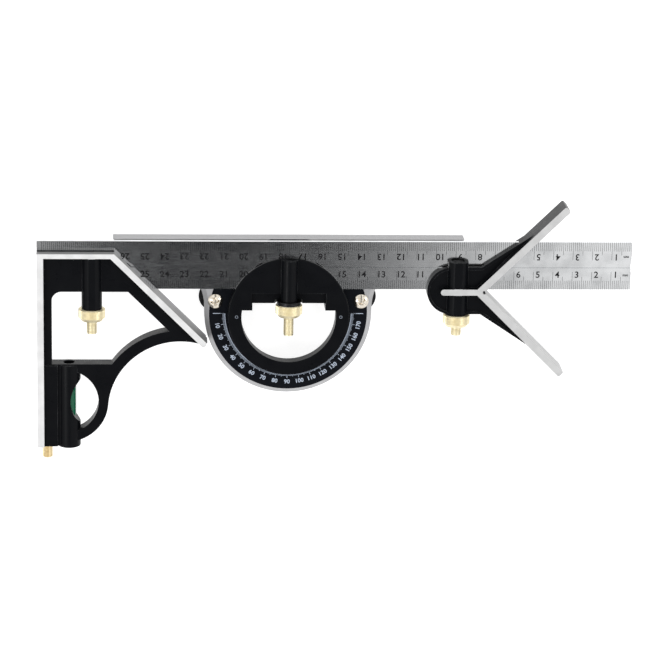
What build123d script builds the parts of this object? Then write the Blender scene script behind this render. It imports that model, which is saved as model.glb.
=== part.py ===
from build123d import *
from math import sqrt
import os

# Combination square set: a 300 mm grooved rule that carries a square head with
# a level and a scriber, a protractor head and a centre head.
# Millimetres. X runs along the rule from its left end, Y = 0 is the rule's lower
# edge and Z = 0 its graduated face, so the tool lies on its back on a bench.

# ---- driving dimensions: rule ----
rule_length = 302.5
rule_width = 25.0
rule_thickness = 2.2
rule_corner_radius = 0.8
groove_width = 2.4
groove_depth = 0.9
slot_clearance = 0.1        # each side of the rule, in the slots of the heads
seat_gap = 0.05             # under the rule's lower edge

# ---- shared by the castings ----
head_front = 6.0            # front plane of the square and centre heads
head_back = -8.2
web_recess = 3.0            # how far the black webs lie below the ground flanges
turn_clearance = 0.05       # radial, on every turning or sliding fit
cut_margin = 1.0            # how far a cut runs past the face that it opens

# ---- clamp set: hook bolt, spring and knurled nut ----
clamp_z = 1.1               # height of the clamp axis over the rule's face
bolt_head_radius = 3.4
bolt_shank_radius = 2.4
bolt_head_top = 14.6
lug_width = 1.8
lug_length = 5.0
lug_end_gap = 0.1
hook_gap = 0.1              # between the bolt's flat and the rule's face
hook_drop = 1.0             # how far the flat runs down past the rule's lower edge
boss_floor = 2.6            # wall that the spring stands on
bore_top_gap = 1.4          # room for the bolt to rise
spring_wire_radius = 0.2
spring_gap = 0.1
nut_radius = 6.8
nut_height = 6.3
nut_gap = 0.05
nut_chamfer = 0.5
stud_chamfer = 0.4
stud_end_room = 1.0         # bored past the stud's end, where a casting lies in its way
spring_turns = 4

# ---- square head ----
square_height = 103.0       # length of its 90 degree face
rule_stand_proud = 5.2      # rule above the head's top face
flange_left = 3.4
flange_top = 2.5
flange_mitre = 3.1
mitre_corner_x = 39.0       # where the top face meets the 45 degree face
mitre_drop = 47.4           # height of the 45 degree face
mitre_tip_radius = 1.2
square_web_mitre = 6.5      # web beside the 45 degree flange
square_web_left = 4.0
window_top_wall = 0.8       # under the rule's seat
window_corner_radius = 5.0
window_rise = 43.9          # this and the other rises are heights over the head's lower end
brace_x = 72.7
brace_rise = 19.3
brace_outer_radius = 36.8
brace_width = 5.8
lobe_x = 14.2
lobe_rise = 23.8
lobe_hole_radius = 16.9
brace_split_drop = 1.7      # the brace meets the lower left block this far under the lobe's centre
square_boss_x = 27.7
square_boss_radius = 5.2
square_boss_end = -9.8
square_spring_length = 4.4
square_stud_end = -23.1
barrel_x = 16.0
barrel_radius = 5.9
barrel_rise = 43.4
barrel_overhang = 0.8
barrel_mouth_radius = 2.9
barrel_end_fillet = 0.5
scoop_radius = 15.5
scoop_depth = 5.1
vial_radius = 3.6
vial_wall = 0.7
vial_length = 36.0
vial_gap = 0.05
vial_plug_length = 2.4
bubble_length = 9.0
bubble_depth = 1.6
scriber_x = 4.9
scriber_pad_front = 4.2
scriber_pad_back = -6.4
scriber_pad_right = 10.2
scriber_head_radius = 2.55
scriber_head_length = 7.2
scriber_head_chamfer = 0.3
scriber_needle_radius = 0.9
scriber_needle_length = 52.0
scriber_point_length = 7.0
scriber_tip_radius = 0.11
scriber_hole_radius = 1.2
scriber_bush_radius = 2.1
scriber_bush_length = 6.0

# ---- protractor head ----
turret_x = 127.7
turret_y = -14.4
turret_radius = 31.0
turret_barrel_radius = 30.2
turret_front = 1.8
turret_edge_fillet = 0.6
turret_hole_radius = 24.1
turret_hole_rear_radius = 27.2
turret_lip = 6.4            # thickness of the turret round its hole, from the front
turret_bar_bottom = -7.7
turret_bar_top = -2.0
turret_bar_recess = 2.4
turret_block_width = 5.0
turret_block_drop = 3.2
turret_boss_radius = 4.2
turret_boss_end = -5.7
turret_boss_inset = 0.3     # boss stops this far inside the turret's edge
turret_nut_room = 0.5       # round the nut, where it passes the bar
turret_spring_length = 2.3
turret_stud_end = -24.0
turret_rear_pocket = 4.0
turret_rear_wall = 4.5
washer_radius = 6.1
washer_thickness = 1.9
plate_front = -4.5
plate_back = -13.3
rim_radius = 42.8
rim_width = 2.4
rim_drop = 1.9
rim_edge_margin = 0.5       # edges this far under the bar belong to the rim
ear_radius = 30.0
bar_length = 178.6
bar_height = 7.0
turret_flange_gap = 0.05
lock_screw_across = 37.35
lock_screw_up = 6.7
lock_screw_radius = 2.5
lock_head_radius = 3.7
lock_head_height = 2.0
lock_slot_width = 0.9
lock_slot_depth = 0.9
lock_slot_length = 4.4
lock_head_fillet = 1.5
lock_washer_radius = 8.2
lock_washer_thickness = 0.9
lock_nut_radius = 7.6
lock_nut_height = 5.0
lock_screw_end = -20.0

# ---- centre head ----
vee_x = 227.0
arm_length = 60.3
arm_thickness = 3.7
arm_tip_radius = 1.0
stem_left = 204.7
stem_width = 3.2
centre_plate_x = 210.4
centre_plate_radius = 12.4
centre_plate_right = 225.5
gusset_reach = 26.0         # along X, from the plate to where the gusset meets the arm
centre_pocket_rim = 1.4
centre_pocket_depth = 1.0
centre_boss_x = 213.6
centre_boss_radius = 5.3
centre_boss_top = 15.3
centre_boss_end = -12.6
centre_spring_length = 7.6
centre_stud_end = -23.7
vee_relief_radius = 0.9

# ---- places worked out from the dimensions above ----
square_top = rule_width - rule_stand_proud
square_bottom = square_top - square_height
window_bottom = square_bottom + window_rise
brace_y = square_bottom + brace_rise
lobe_y = square_bottom + lobe_rise
barrel_top = square_bottom + barrel_rise
web_front = head_front - web_recess
web_back = head_back + web_recess
mitre_sum = mitre_corner_x + square_top          # x + y along the 45 degree face
slot_depth = rule_thickness + 2 * slot_clearance
slot_middle = slot_clearance - slot_depth / 2
head_depth = head_front - head_back
groove_middle = rule_width / 2
lug_bottom = groove_middle - groove_width / 2 + turn_clearance
bore_radius = bolt_head_radius + turn_clearance
shank_hole_radius = bolt_shank_radius + turn_clearance

os.makedirs("parts", exist_ok=True)


def save(part, name):
    part.label = name
    export_step(part, f"parts/{name}.step")


def across(x, y, z=clamp_z):
    """A plane whose normal is +Y, for profiles of the parts along the clamp axes."""
    return Plane(origin=(x, y, z), x_dir=(1, 0, 0), z_dir=(0, 1, 0))


def cut_rule_slot(left, right, top):
    """Cuts the slot for the rule, from its seat up to top, in the part being built."""
    bottom = -seat_gap
    with Locations(((left + right) / 2, (top + bottom) / 2, slot_middle)):
        Box(right - left, top - bottom, slot_depth, mode=Mode.SUBTRACT)


def face_boss(x, radius, top, bottom):
    """Faces a clamp boss off level with the front of its head."""
    with Locations((x, (top + bottom) / 2, head_front + radius / 2)):
        Box(2 * radius, top - bottom, radius, mode=Mode.SUBTRACT)


def cut_clamp_bore(x, boss_end, stud_end):
    """Bores the wide hole for the hook bolt's head and the hole for its shank and stud."""
    bore_top = bolt_head_top + bore_top_gap
    step = boss_end + boss_floor
    with BuildSketch(across(x, step)) as bore:
        Circle(bore_radius)
    extrude(bore.sketch, amount=bore_top - step, mode=Mode.SUBTRACT)
    guide_end = stud_end - stud_end_room
    with BuildSketch(across(x, guide_end)) as guide:
        Circle(shank_hole_radius)
    extrude(guide.sketch, amount=step + cut_margin - guide_end, mode=Mode.SUBTRACT)


def clamp_bolt(x, boss_end, spring_length, stud_end):
    """Hook bolt: a flatted head with a lug in the rule's groove, and a threaded shank."""
    head_bottom = boss_end + boss_floor + spring_length
    with BuildPart() as bolt:
        with BuildSketch(across(x, stud_end)):
            Circle(bolt_shank_radius)
        extrude(amount=head_bottom - stud_end + cut_margin)
        chamfer(bolt.edges().sort_by(Axis.Y)[0], stud_chamfer)
        with BuildSketch(across(x, head_bottom)):
            Circle(bolt_head_radius)
        extrude(amount=bolt_head_top - head_bottom)
        flat_length = bolt_head_top + hook_drop
        flat_depth = 2 * bolt_head_radius
        with Locations((x, bolt_head_top - flat_length / 2, hook_gap - flat_depth / 2)):
            Box(3 * bolt_head_radius, flat_length, flat_depth, mode=Mode.SUBTRACT)
        lug_low = lug_end_gap - groove_depth
        lug_high = clamp_z
        with Locations((x, lug_bottom + lug_width / 2, (lug_low + lug_high) / 2)):
            Box(lug_length, lug_width, lug_high - lug_low)
    return bolt.part


def clamp_spring(x, boss_end, spring_length):
    """Compression spring between the boss floor and the hook bolt's head."""
    wire = spring_wire_radius
    height = spring_length - 2 * (wire + spring_gap)
    mean_radius = (bolt_shank_radius + bore_radius) / 2
    start = boss_end + boss_floor + wire + spring_gap
    with BuildPart() as spring:
        with BuildLine() as coil:
            Helix(height / spring_turns, height, mean_radius,
                  center=(x, start, clamp_z), direction=(0, 1, 0))
        with BuildSketch(Plane(origin=coil.line @ 0, z_dir=coil.line % 0)):
            Circle(wire)
        sweep(path=coil.line, is_frenet=True)
    return spring.part


def clamp_nut(x, top):
    """Round nut that pulls the hook bolt down against the boss."""
    with BuildPart() as nut:
        with BuildSketch(across(x, top - nut_height)):
            Circle(nut_radius)
            Circle(shank_hole_radius, mode=Mode.SUBTRACT)
        extrude(amount=nut_height)
        chamfer(nut.edges().filter_by(GeomType.CIRCLE).sort_by(lambda e: e.radius)[-2:], nut_chamfer)
    return nut.part


# ---- rule ----
with BuildPart() as rule:
    with Locations((rule_length / 2, rule_width / 2, -rule_thickness / 2)):
        Box(rule_length, rule_width, rule_thickness)
    fillet(rule.edges().filter_by(Axis.Z).group_by(Axis.X)[-1], rule_corner_radius)
    with Locations((rule_length / 2, groove_middle, -groove_depth / 2)):
        Box(rule_length, groove_width, groove_depth, mode=Mode.SUBTRACT)
save(rule.part, "rule")


# ---- square head ----
tip_x = mitre_corner_x + mitre_drop
tip_y = square_top - mitre_drop
flange_step = flange_mitre / sqrt(2)
brace_split_y = lobe_y - brace_split_drop
barrel_bottom = square_bottom - barrel_overhang
barrel_z = (head_front + head_back) / 2
lobe_outer_radius = sqrt((brace_x - lobe_x) ** 2 + (brace_y - lobe_y) ** 2) - brace_outer_radius
window_left = flange_left + square_web_left
window_sum = mitre_sum - sqrt(2) * (flange_mitre + square_web_mitre)

with BuildSketch(Plane.XY.offset(web_back)) as square_outline:
    Polygon(
        (0, brace_split_y),
        (0, square_top),
        (mitre_corner_x, square_top),
        (tip_x, tip_y),
        (tip_x - flange_step, tip_y - flange_step),
        (tip_x - flange_step, brace_split_y),
        align=None,
    )
    with Locations((brace_x, brace_y)):
        Circle(brace_outer_radius, mode=Mode.SUBTRACT)
    with Locations((lobe_x, lobe_y)):
        Circle(lobe_outer_radius)
    with Locations((lobe_x / 2, (brace_split_y + square_bottom) / 2)):
        Rectangle(lobe_x, brace_split_y - square_bottom)
    with Locations((-lobe_outer_radius, lobe_y)):
        Rectangle(2 * lobe_outer_radius, 3 * lobe_outer_radius, mode=Mode.SUBTRACT)

with BuildSketch(Plane.XY.offset(web_back)) as square_window:
    window_top = -window_top_wall
    Polygon(
        (window_left, window_bottom),
        (window_left, window_top),
        (window_sum - window_top, window_top),
        (window_sum - window_bottom, window_bottom),
        align=None,
    )
    fillet(square_window.vertices().group_by(Axis.X)[0].sort_by(Axis.Y)[-1], window_corner_radius)
    with Locations((brace_x, brace_y)):
        Circle(brace_outer_radius + brace_width, mode=Mode.SUBTRACT)

with BuildSketch(Plane.XY.offset(head_back)) as square_flanges:
    Polygon(
        (0, square_bottom),
        (0, square_top),
        (mitre_corner_x, square_top),
        (tip_x, tip_y),
        (tip_x - flange_step, tip_y - flange_step),
        (mitre_sum - sqrt(2) * flange_mitre - square_top + flange_top, square_top - flange_top),
        (flange_left, square_top - flange_top),
        (flange_left, square_bottom),
        align=None,
    )
    fillet(square_flanges.vertices().sort_by(Axis.X)[-2:], mitre_tip_radius)

with BuildPart() as square_head:
    add(square_outline.sketch)
    extrude(amount=web_front - web_back)
    add(square_window.sketch)
    extrude(amount=web_front - web_back, mode=Mode.SUBTRACT)
    # the round window beside the level
    with BuildSketch(Plane.XY.offset(web_back)):
        with Locations((lobe_x, lobe_y)):
            Circle(lobe_hole_radius)
        with Locations((barrel_x - lobe_hole_radius, lobe_y)):
            Rectangle(2 * lobe_hole_radius, 2 * lobe_hole_radius, mode=Mode.SUBTRACT)
    extrude(amount=web_front - web_back, mode=Mode.SUBTRACT)
    # barrel of the level, opened by a round scoop from the right
    with BuildSketch(across(barrel_x, barrel_bottom, barrel_z)):
        Circle(barrel_radius)
    extrude(amount=barrel_top - barrel_bottom)
    fillet(square_head.edges().filter_by(GeomType.CIRCLE).sort_by(Axis.Y)[0], barrel_end_fillet)
    scoop_x = barrel_x + barrel_radius - scoop_depth + scoop_radius
    with BuildSketch(Plane.XY.offset(head_back)):
        with Locations((scoop_x, lobe_y)):
            Circle(scoop_radius)
        with Locations((barrel_x + 2 * barrel_radius + scoop_radius, lobe_y)):
            Rectangle(2 * scoop_radius + 2 * barrel_radius, 3 * scoop_radius, mode=Mode.SUBTRACT)
    extrude(amount=head_depth, mode=Mode.SUBTRACT)
    # ground flanges
    add(square_flanges.sketch)
    extrude(amount=head_depth)
    # pad that holds the scriber
    pad_height = barrel_top - square_bottom
    with Locations(((flange_left + scriber_pad_right) / 2, square_bottom + pad_height / 2,
                    (scriber_pad_front + scriber_pad_back) / 2)):
        Box(scriber_pad_right - flange_left, pad_height, scriber_pad_front - scriber_pad_back)
    # clamp boss
    with BuildSketch(across(square_boss_x, square_boss_end)):
        Circle(square_boss_radius)
    extrude(amount=square_top - square_boss_end)
    face_boss(square_boss_x, square_boss_radius, square_top, square_boss_end)
    cut_clamp_bore(square_boss_x, square_boss_end, square_stud_end)
    cut_rule_slot(-cut_margin, mitre_sum, rule_width + cut_margin)
    # bores of the level and the scriber
    vial_bore = vial_radius + vial_gap
    vial_top = barrel_bottom + vial_plug_length + vial_length
    with BuildSketch(across(barrel_x, barrel_bottom, barrel_z)):
        Circle(vial_bore)
    extrude(amount=vial_top - barrel_bottom, mode=Mode.SUBTRACT)
    with BuildSketch(across(barrel_x, barrel_bottom, barrel_z)):
        Circle(barrel_mouth_radius)
    extrude(amount=barrel_top - barrel_bottom + cut_margin, mode=Mode.SUBTRACT)
    with BuildSketch(across(scriber_x, square_bottom, barrel_z)):
        Circle(scriber_hole_radius)
    extrude(amount=scriber_needle_length + cut_margin, mode=Mode.SUBTRACT)
    with BuildSketch(across(scriber_x, square_bottom, barrel_z)):
        Circle(scriber_bush_radius)
    extrude(amount=scriber_bush_length, mode=Mode.SUBTRACT)
save(square_head.part, "square_head_casting")

with BuildPart() as vial_glass:
    with BuildSketch(across(barrel_x, barrel_bottom + vial_plug_length, barrel_z)):
        Circle(vial_radius)
    extrude(amount=vial_length)
    with BuildSketch(across(barrel_x, barrel_bottom + vial_plug_length + vial_wall, barrel_z)):
        Circle(vial_radius - vial_wall)
    extrude(amount=vial_length - 2 * vial_wall, mode=Mode.SUBTRACT)
save(vial_glass.part, "level_vial_glass")

with BuildPart() as vial_liquid:
    with BuildSketch(across(barrel_x, barrel_bottom + vial_plug_length + vial_wall, barrel_z)):
        Circle(vial_radius - vial_wall)
    extrude(amount=vial_length - 2 * vial_wall)
    bubble_middle = barrel_bottom + vial_plug_length + vial_length / 2
    with Locations((barrel_x, bubble_middle, barrel_z + vial_radius - vial_wall - bubble_depth / 2)):
        Box(2 * vial_radius, bubble_length, bubble_depth, mode=Mode.SUBTRACT)
save(vial_liquid.part, "level_vial_liquid")

with BuildPart() as vial_plug:
    with BuildSketch(across(barrel_x, barrel_bottom, barrel_z)):
        Circle(vial_radius)
    extrude(amount=vial_plug_length)
save(vial_plug.part, "level_vial_plug")

with BuildPart() as scriber_bush:
    with BuildSketch(across(scriber_x, square_bottom, barrel_z)):
        Circle(scriber_bush_radius)
        Circle(scriber_needle_radius + turn_clearance, mode=Mode.SUBTRACT)
    extrude(amount=scriber_bush_length)
save(scriber_bush.part, "scriber_bush")

scriber_head_top = square_bottom - nut_gap
with BuildPart() as scriber_head:
    with BuildSketch(across(scriber_x, scriber_head_top - scriber_head_length, barrel_z)):
        Circle(scriber_head_radius)
    extrude(amount=scriber_head_length)
    chamfer(scriber_head.edges(), scriber_head_chamfer)
save(scriber_head.part, "scriber_head")

with BuildPart() as scriber_needle:
    with BuildSketch(across(scriber_x, scriber_head_top, barrel_z)):
        Circle(scriber_needle_radius)
    extrude(amount=scriber_needle_length - scriber_point_length)
    needle_shoulder = scriber_needle.faces().sort_by(Axis.Y)[-1]
    with BuildSketch(Plane(needle_shoulder)):
        Circle(scriber_needle_radius)
    with BuildSketch(across(scriber_x, scriber_head_top + scriber_needle_length, barrel_z)):
        Circle(scriber_tip_radius)
    loft()
save(scriber_needle.part, "scriber_needle")


# ---- protractor head ----
centre = (turret_x, turret_y)
bar_top = rule_width
bar_bottom = bar_top - bar_height
plate_depth = plate_front - plate_back
lock_places = {"left": turret_x - lock_screw_across, "right": turret_x + lock_screw_across}
lock_y = turret_y + lock_screw_up

with BuildPart() as protractor_body:
    with BuildSketch(Plane.XY.offset(plate_back)):
        with Locations(centre):
            Circle(rim_radius)
        with Locations((turret_x, (turret_y + bar_bottom) / 2)):
            Rectangle(2 * rim_radius, bar_bottom - turret_y)
        with Locations((turret_x, bar_bottom - ear_radius / 2)):
            Rectangle(2 * (rim_radius + ear_radius), ear_radius)
        ear_across = rim_radius + ear_radius
        with Locations((turret_x - ear_across, bar_bottom - ear_radius),
                       (turret_x + ear_across, bar_bottom - ear_radius)):
            Circle(ear_radius, mode=Mode.SUBTRACT)
        Polygon(
            (turret_x - bar_length / 2, bar_top),
            (turret_x + bar_length / 2, bar_top),
            (turret_x + bar_length / 2 - bar_height, bar_bottom),
            (turret_x - bar_length / 2 + bar_height, bar_bottom),
            align=None,
        )
        with Locations((turret_x, bar_top + rim_radius)):
            Rectangle(2 * rim_radius, 2 * rim_radius, mode=Mode.SUBTRACT)
    extrude(amount=plate_depth)
    front_face = protractor_body.faces().sort_by(Axis.Z)[-1]
    rim_top = bar_bottom - rim_edge_margin
    rim_edges = front_face.outer_wire().edges().filter_by(lambda e: e.center().Y < rim_top)
    chamfer(rim_edges, length=rim_width, length2=rim_drop, reference=front_face)
    with BuildSketch(Plane.XY.offset(plate_back)):
        with Locations(centre):
            Circle(turret_barrel_radius + turn_clearance)
        with Locations(*[(x, lock_y) for x in lock_places.values()]):
            Circle(lock_screw_radius + turn_clearance)
    extrude(amount=plate_depth, mode=Mode.SUBTRACT)
save(protractor_body.part, "protractor_body")

with BuildPart() as turret:
    with BuildSketch(Plane.XY.offset(plate_back)):
        with Locations(centre):
            Circle(turret_barrel_radius)
    extrude(amount=turret_front - plate_back)
    with BuildSketch(Plane.XY.offset(plate_front + turret_flange_gap)):
        with Locations(centre):
            Circle(turret_radius)
    extrude(amount=turret_front - plate_front - turret_flange_gap)
    fillet(turret.edges().filter_by(GeomType.CIRCLE).sort_by(Axis.Z)[-1], turret_edge_fillet)
    # round hole, closed above by the bar that seats the rule
    with BuildSketch(Plane.XY.offset(plate_back)):
        with Locations(centre):
            Circle(turret_hole_radius)
        hole_top = turret_y + turret_hole_radius
        with Locations((turret_x, (turret_bar_bottom + hole_top) / 2)):
            Rectangle(2 * turret_hole_radius, hole_top - turret_bar_bottom, mode=Mode.SUBTRACT)
        block_across = turret_hole_radius - turret_block_width / 2
        with Locations((turret_x - block_across, turret_bar_bottom - turret_block_drop / 2),
                       (turret_x + block_across, turret_bar_bottom - turret_block_drop / 2)):
            Rectangle(turret_block_width + cut_margin, turret_block_drop, mode=Mode.SUBTRACT)
    extrude(amount=turret_front - plate_back, mode=Mode.SUBTRACT)
    # the ring is thinner than the plate: behind its lip the hole is wider
    with BuildSketch(Plane.XY.offset(plate_back)):
        with Locations(centre):
            Circle(turret_hole_rear_radius)
        with Locations((turret_x, turret_bar_bottom - turret_block_drop + turret_hole_rear_radius)):
            Rectangle(2 * turret_hole_rear_radius, 2 * turret_hole_rear_radius, mode=Mode.SUBTRACT)
    extrude(amount=turret_front - turret_lip - plate_back, mode=Mode.SUBTRACT)
    bar_recess_width = 2 * (turret_hole_radius - turret_block_width)
    bar_middle = (turret_bar_top + turret_bar_bottom) / 2
    with Locations((turret_x, bar_middle, turret_front - turret_bar_recess / 2)):
        Box(bar_recess_width, turret_bar_top - turret_bar_bottom, turret_bar_recess, mode=Mode.SUBTRACT)
    # pocket behind the rule
    with BuildSketch(Plane.XY.offset(plate_back)):
        with Locations(centre):
            Circle(turret_barrel_radius - turret_rear_wall)
        pocket_bottom = turret_rear_wall / 2
        with Locations((turret_x, pocket_bottom - turret_barrel_radius)):
            Rectangle(2 * turret_barrel_radius, 2 * turret_barrel_radius, mode=Mode.SUBTRACT)
    extrude(amount=turret_rear_pocket, mode=Mode.SUBTRACT)
    # clamp boss
    boss_top = turret_y + sqrt(turret_radius ** 2 - turret_boss_radius ** 2) - turret_boss_inset
    with BuildSketch(across(turret_x, turret_boss_end, turret_front)):
        Circle(turret_boss_radius)
    extrude(amount=boss_top - turret_boss_end)
    cut_clamp_bore(turret_x, turret_boss_end, turret_stud_end)
    with BuildSketch(across(turret_x, turret_boss_end - washer_thickness - nut_height - nut_gap)):
        Circle(nut_radius + turret_nut_room)
    extrude(amount=washer_thickness + nut_height + nut_gap, mode=Mode.SUBTRACT)
    cut_rule_slot(turret_x - turret_radius - cut_margin, turret_x + turret_radius + cut_margin, rule_width)
save(turret.part, "protractor_turret")

with BuildPart() as clamp_washer:
    with BuildSketch(across(turret_x, turret_boss_end - washer_thickness)):
        Circle(washer_radius)
        Circle(shank_hole_radius, mode=Mode.SUBTRACT)
    extrude(amount=washer_thickness)
save(clamp_washer.part, "turret_clamp_washer")

for side, lock_x in lock_places.items():
    with BuildPart() as lock_screw:
        with BuildSketch(Plane.XY.offset(lock_screw_end)):
            with Locations((lock_x, lock_y)):
                Circle(lock_screw_radius)
        extrude(amount=plate_front - lock_screw_end)
        with BuildSketch(Plane.XY.offset(plate_front)):
            with Locations((lock_x, lock_y)):
                Circle(lock_head_radius)
        extrude(amount=lock_head_height)
        fillet(lock_screw.edges().filter_by(GeomType.CIRCLE).sort_by(Axis.Z)[-1], lock_head_fillet)
        with Locations((lock_x, lock_y, plate_front + lock_head_height - lock_slot_depth / 2)):
            Box(lock_slot_length, lock_slot_width, lock_slot_depth, mode=Mode.SUBTRACT)
            Box(lock_slot_width, lock_slot_length, lock_slot_depth, mode=Mode.SUBTRACT)
    save(lock_screw.part, f"{side}_lock_screw")

    with BuildPart() as lock_washer:
        with BuildSketch(Plane.XY.offset(plate_back - lock_washer_thickness)):
            with Locations((lock_x, lock_y)):
                Circle(lock_washer_radius)
                Circle(lock_screw_radius + turn_clearance, mode=Mode.SUBTRACT)
        extrude(amount=lock_washer_thickness)
    save(lock_washer.part, f"{side}_lock_washer")

    with BuildPart() as lock_nut:
        with BuildSketch(Plane.XY.offset(plate_back - lock_washer_thickness - lock_nut_height)):
            with Locations((lock_x, lock_y)):
                Circle(lock_nut_radius)
                Circle(lock_screw_radius + turn_clearance, mode=Mode.SUBTRACT)
        extrude(amount=lock_nut_height)
        nut_rims = lock_nut.edges().filter_by(GeomType.CIRCLE).sort_by(lambda e: e.radius)[-2:]
        chamfer(nut_rims, nut_chamfer)
    save(lock_nut.part, f"{side}_lock_nut")


# ---- centre head ----
arm_step = arm_thickness / sqrt(2)
arm_reach = arm_length / sqrt(2)
gusset_x = centre_plate_right + gusset_reach
gusset_y = gusset_x - vee_x + 2 * arm_step

with BuildSketch(Plane.XY.offset(web_back)) as centre_outline:
    with Locations((centre_plate_x, 0)):
        Circle(centre_plate_radius)
    Polygon(
        (centre_plate_x, centre_plate_radius),
        (centre_plate_right, centre_plate_radius),
        (gusset_x, gusset_y),
        (vee_x - arm_step, 0),
        (gusset_x, -gusset_y),
        (centre_plate_right, -centre_plate_radius),
        (centre_plate_x, -centre_plate_radius),
        align=None,
    )

with BuildSketch(Plane.XY.offset(web_front - centre_pocket_depth)) as centre_pocket:
    add(centre_outline.sketch.moved(Location((0, 0, -web_back))))
    offset(amount=-centre_pocket_rim)

with BuildSketch(Plane.XY.offset(head_back)) as centre_flanges:
    Polygon(
        (vee_x, 0),
        (vee_x + arm_reach, arm_reach),
        (vee_x + arm_reach - arm_step, arm_reach + arm_step),
        (vee_x - 2 * arm_step, 0),
        (vee_x + arm_reach - arm_step, -arm_reach - arm_step),
        (vee_x + arm_reach, -arm_reach),
        align=None,
    )
    fillet(centre_flanges.vertices().filter_by(lambda v: v.X > vee_x + arm_reach / 2), arm_tip_radius)
    with Locations(((stem_left + vee_x - arm_step) / 2, 0)):
        SlotOverall(vee_x - arm_step - stem_left, stem_width)

with BuildPart() as centre_head:
    add(centre_outline.sketch)
    extrude(amount=web_front - web_back)
    add(centre_pocket.sketch)
    extrude(amount=centre_pocket_depth, mode=Mode.SUBTRACT)
    add(centre_flanges.sketch)
    extrude(amount=head_depth)
    with BuildSketch(across(centre_boss_x, centre_boss_end)):
        Circle(centre_boss_radius)
    extrude(amount=centre_boss_top - centre_boss_end)
    face_boss(centre_boss_x, centre_boss_radius, centre_boss_top, centre_boss_end)
    cut_clamp_bore(centre_boss_x, centre_boss_end, centre_stud_end)
    centre_left = centre_plate_x - centre_plate_radius
    cut_rule_slot(centre_left - cut_margin, vee_x + arm_reach, rule_width + seat_gap)
    with BuildSketch(Plane.XY.offset(head_back)):
        with Locations((vee_x, 0)):
            Circle(vee_relief_radius)
    extrude(amount=head_depth, mode=Mode.SUBTRACT)
save(centre_head.part, "centre_head_casting")


# ---- clamp sets of the three heads ----
clamps = {
    "square": (square_boss_x, square_boss_end, square_spring_length, square_stud_end, 0),
    "turret": (turret_x, turret_boss_end, turret_spring_length, turret_stud_end, washer_thickness),
    "centre": (centre_boss_x, centre_boss_end, centre_spring_length, centre_stud_end, 0),
}
for name, (x, boss_end, spring_length, stud_end, washer) in clamps.items():
    save(clamp_bolt(x, boss_end, spring_length, stud_end), f"{name}_clamp_bolt")
    save(clamp_spring(x, boss_end, spring_length), f"{name}_clamp_spring")
    save(clamp_nut(x, boss_end - washer - nut_gap), f"{name}_clamp_nut")
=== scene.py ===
# %% [markdown]
# # The looks of a combination square set
#
# A combination square is a grooved steel rule that carries three sliding heads: a
# square head with a level and a scriber, a protractor head and a centre head.
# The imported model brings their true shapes. This lesson adds what a maker would
# call the finish: etched marks, knurling, screw threads, ground and painted
# castings, brass and glass. All sizes are in metres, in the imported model's frame:
# X runs along the rule, Y across it and Z out of its front face.

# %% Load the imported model
import math

import bmesh
import bpy
from mathutils import Matrix, Vector


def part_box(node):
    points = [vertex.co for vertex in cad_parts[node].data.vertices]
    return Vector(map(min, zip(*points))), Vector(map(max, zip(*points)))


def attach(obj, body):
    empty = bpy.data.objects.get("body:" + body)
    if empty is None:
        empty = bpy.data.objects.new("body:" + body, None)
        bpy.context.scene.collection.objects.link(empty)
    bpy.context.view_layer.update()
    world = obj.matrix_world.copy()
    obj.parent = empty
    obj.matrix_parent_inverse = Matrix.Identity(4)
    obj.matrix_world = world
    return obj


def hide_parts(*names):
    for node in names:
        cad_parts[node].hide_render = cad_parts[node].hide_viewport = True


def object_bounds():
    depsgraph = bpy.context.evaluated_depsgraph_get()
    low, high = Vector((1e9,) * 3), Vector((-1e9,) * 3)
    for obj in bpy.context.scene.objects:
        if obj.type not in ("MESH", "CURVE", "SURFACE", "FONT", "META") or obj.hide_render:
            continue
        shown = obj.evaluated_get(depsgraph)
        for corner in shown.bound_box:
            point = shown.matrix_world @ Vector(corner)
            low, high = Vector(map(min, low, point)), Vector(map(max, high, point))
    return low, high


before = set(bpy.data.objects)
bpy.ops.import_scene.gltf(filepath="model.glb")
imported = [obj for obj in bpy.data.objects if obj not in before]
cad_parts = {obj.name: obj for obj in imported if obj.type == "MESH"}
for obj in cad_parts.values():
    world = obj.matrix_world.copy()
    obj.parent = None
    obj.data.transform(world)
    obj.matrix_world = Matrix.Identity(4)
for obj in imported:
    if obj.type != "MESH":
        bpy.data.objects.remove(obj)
cad_bounds = [list(corner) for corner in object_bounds()]
print("CAD nodes:", len(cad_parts), "bounds:", cad_bounds)

# %% [markdown]
# ## Where things are
#
# Each node's box says where it lies, so the places in this cell follow the model
# and aren't typed in. A clamp's axis is the middle of its nut's box.

# %% Places taken from the model
MM = 0.001


def middle(node):
    low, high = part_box(node)
    return (low + high) / 2


rule_low, rule_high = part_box("rule")
rule_end = rule_high.x
square_low, square_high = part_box("square_head_casting")
centre_low, centre_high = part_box("centre_head_casting")
plate_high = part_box("protractor_body")[1]
turret_low, turret_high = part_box("protractor_turret")
lock_left = middle("left_lock_nut")
lock_right = middle("right_lock_nut")
turret_x = (lock_left.x + lock_right.x) / 2
turret_radius = (turret_high.x - turret_low.x) / 2
turret_y = turret_low.y + turret_radius
print("turret centre:", round(turret_x / MM, 2), round(turret_y / MM, 2), "mm")

# %% [markdown]
# ## Helpers for materials
#
# Every finish here is worked out from nodes, so nothing is painted or loaded. A
# few small helpers keep the trees short: one adds a node and fills its inputs,
# one does arithmetic, and one makes noise at a chosen size. Patterns read Object
# coordinates, which stay with a piece when its joint moves.


# %% Node helpers
def add(tree, kind, **values):
    """A node of that kind. Each value is a property, or an input whose spaces are written as _."""
    made = tree.nodes.new(kind)
    for name, value in values.items():
        if hasattr(made, name):
            setattr(made, name, value)
        else:
            feed(tree, made.inputs[name.replace("_", " ")], value)
    return made


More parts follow.
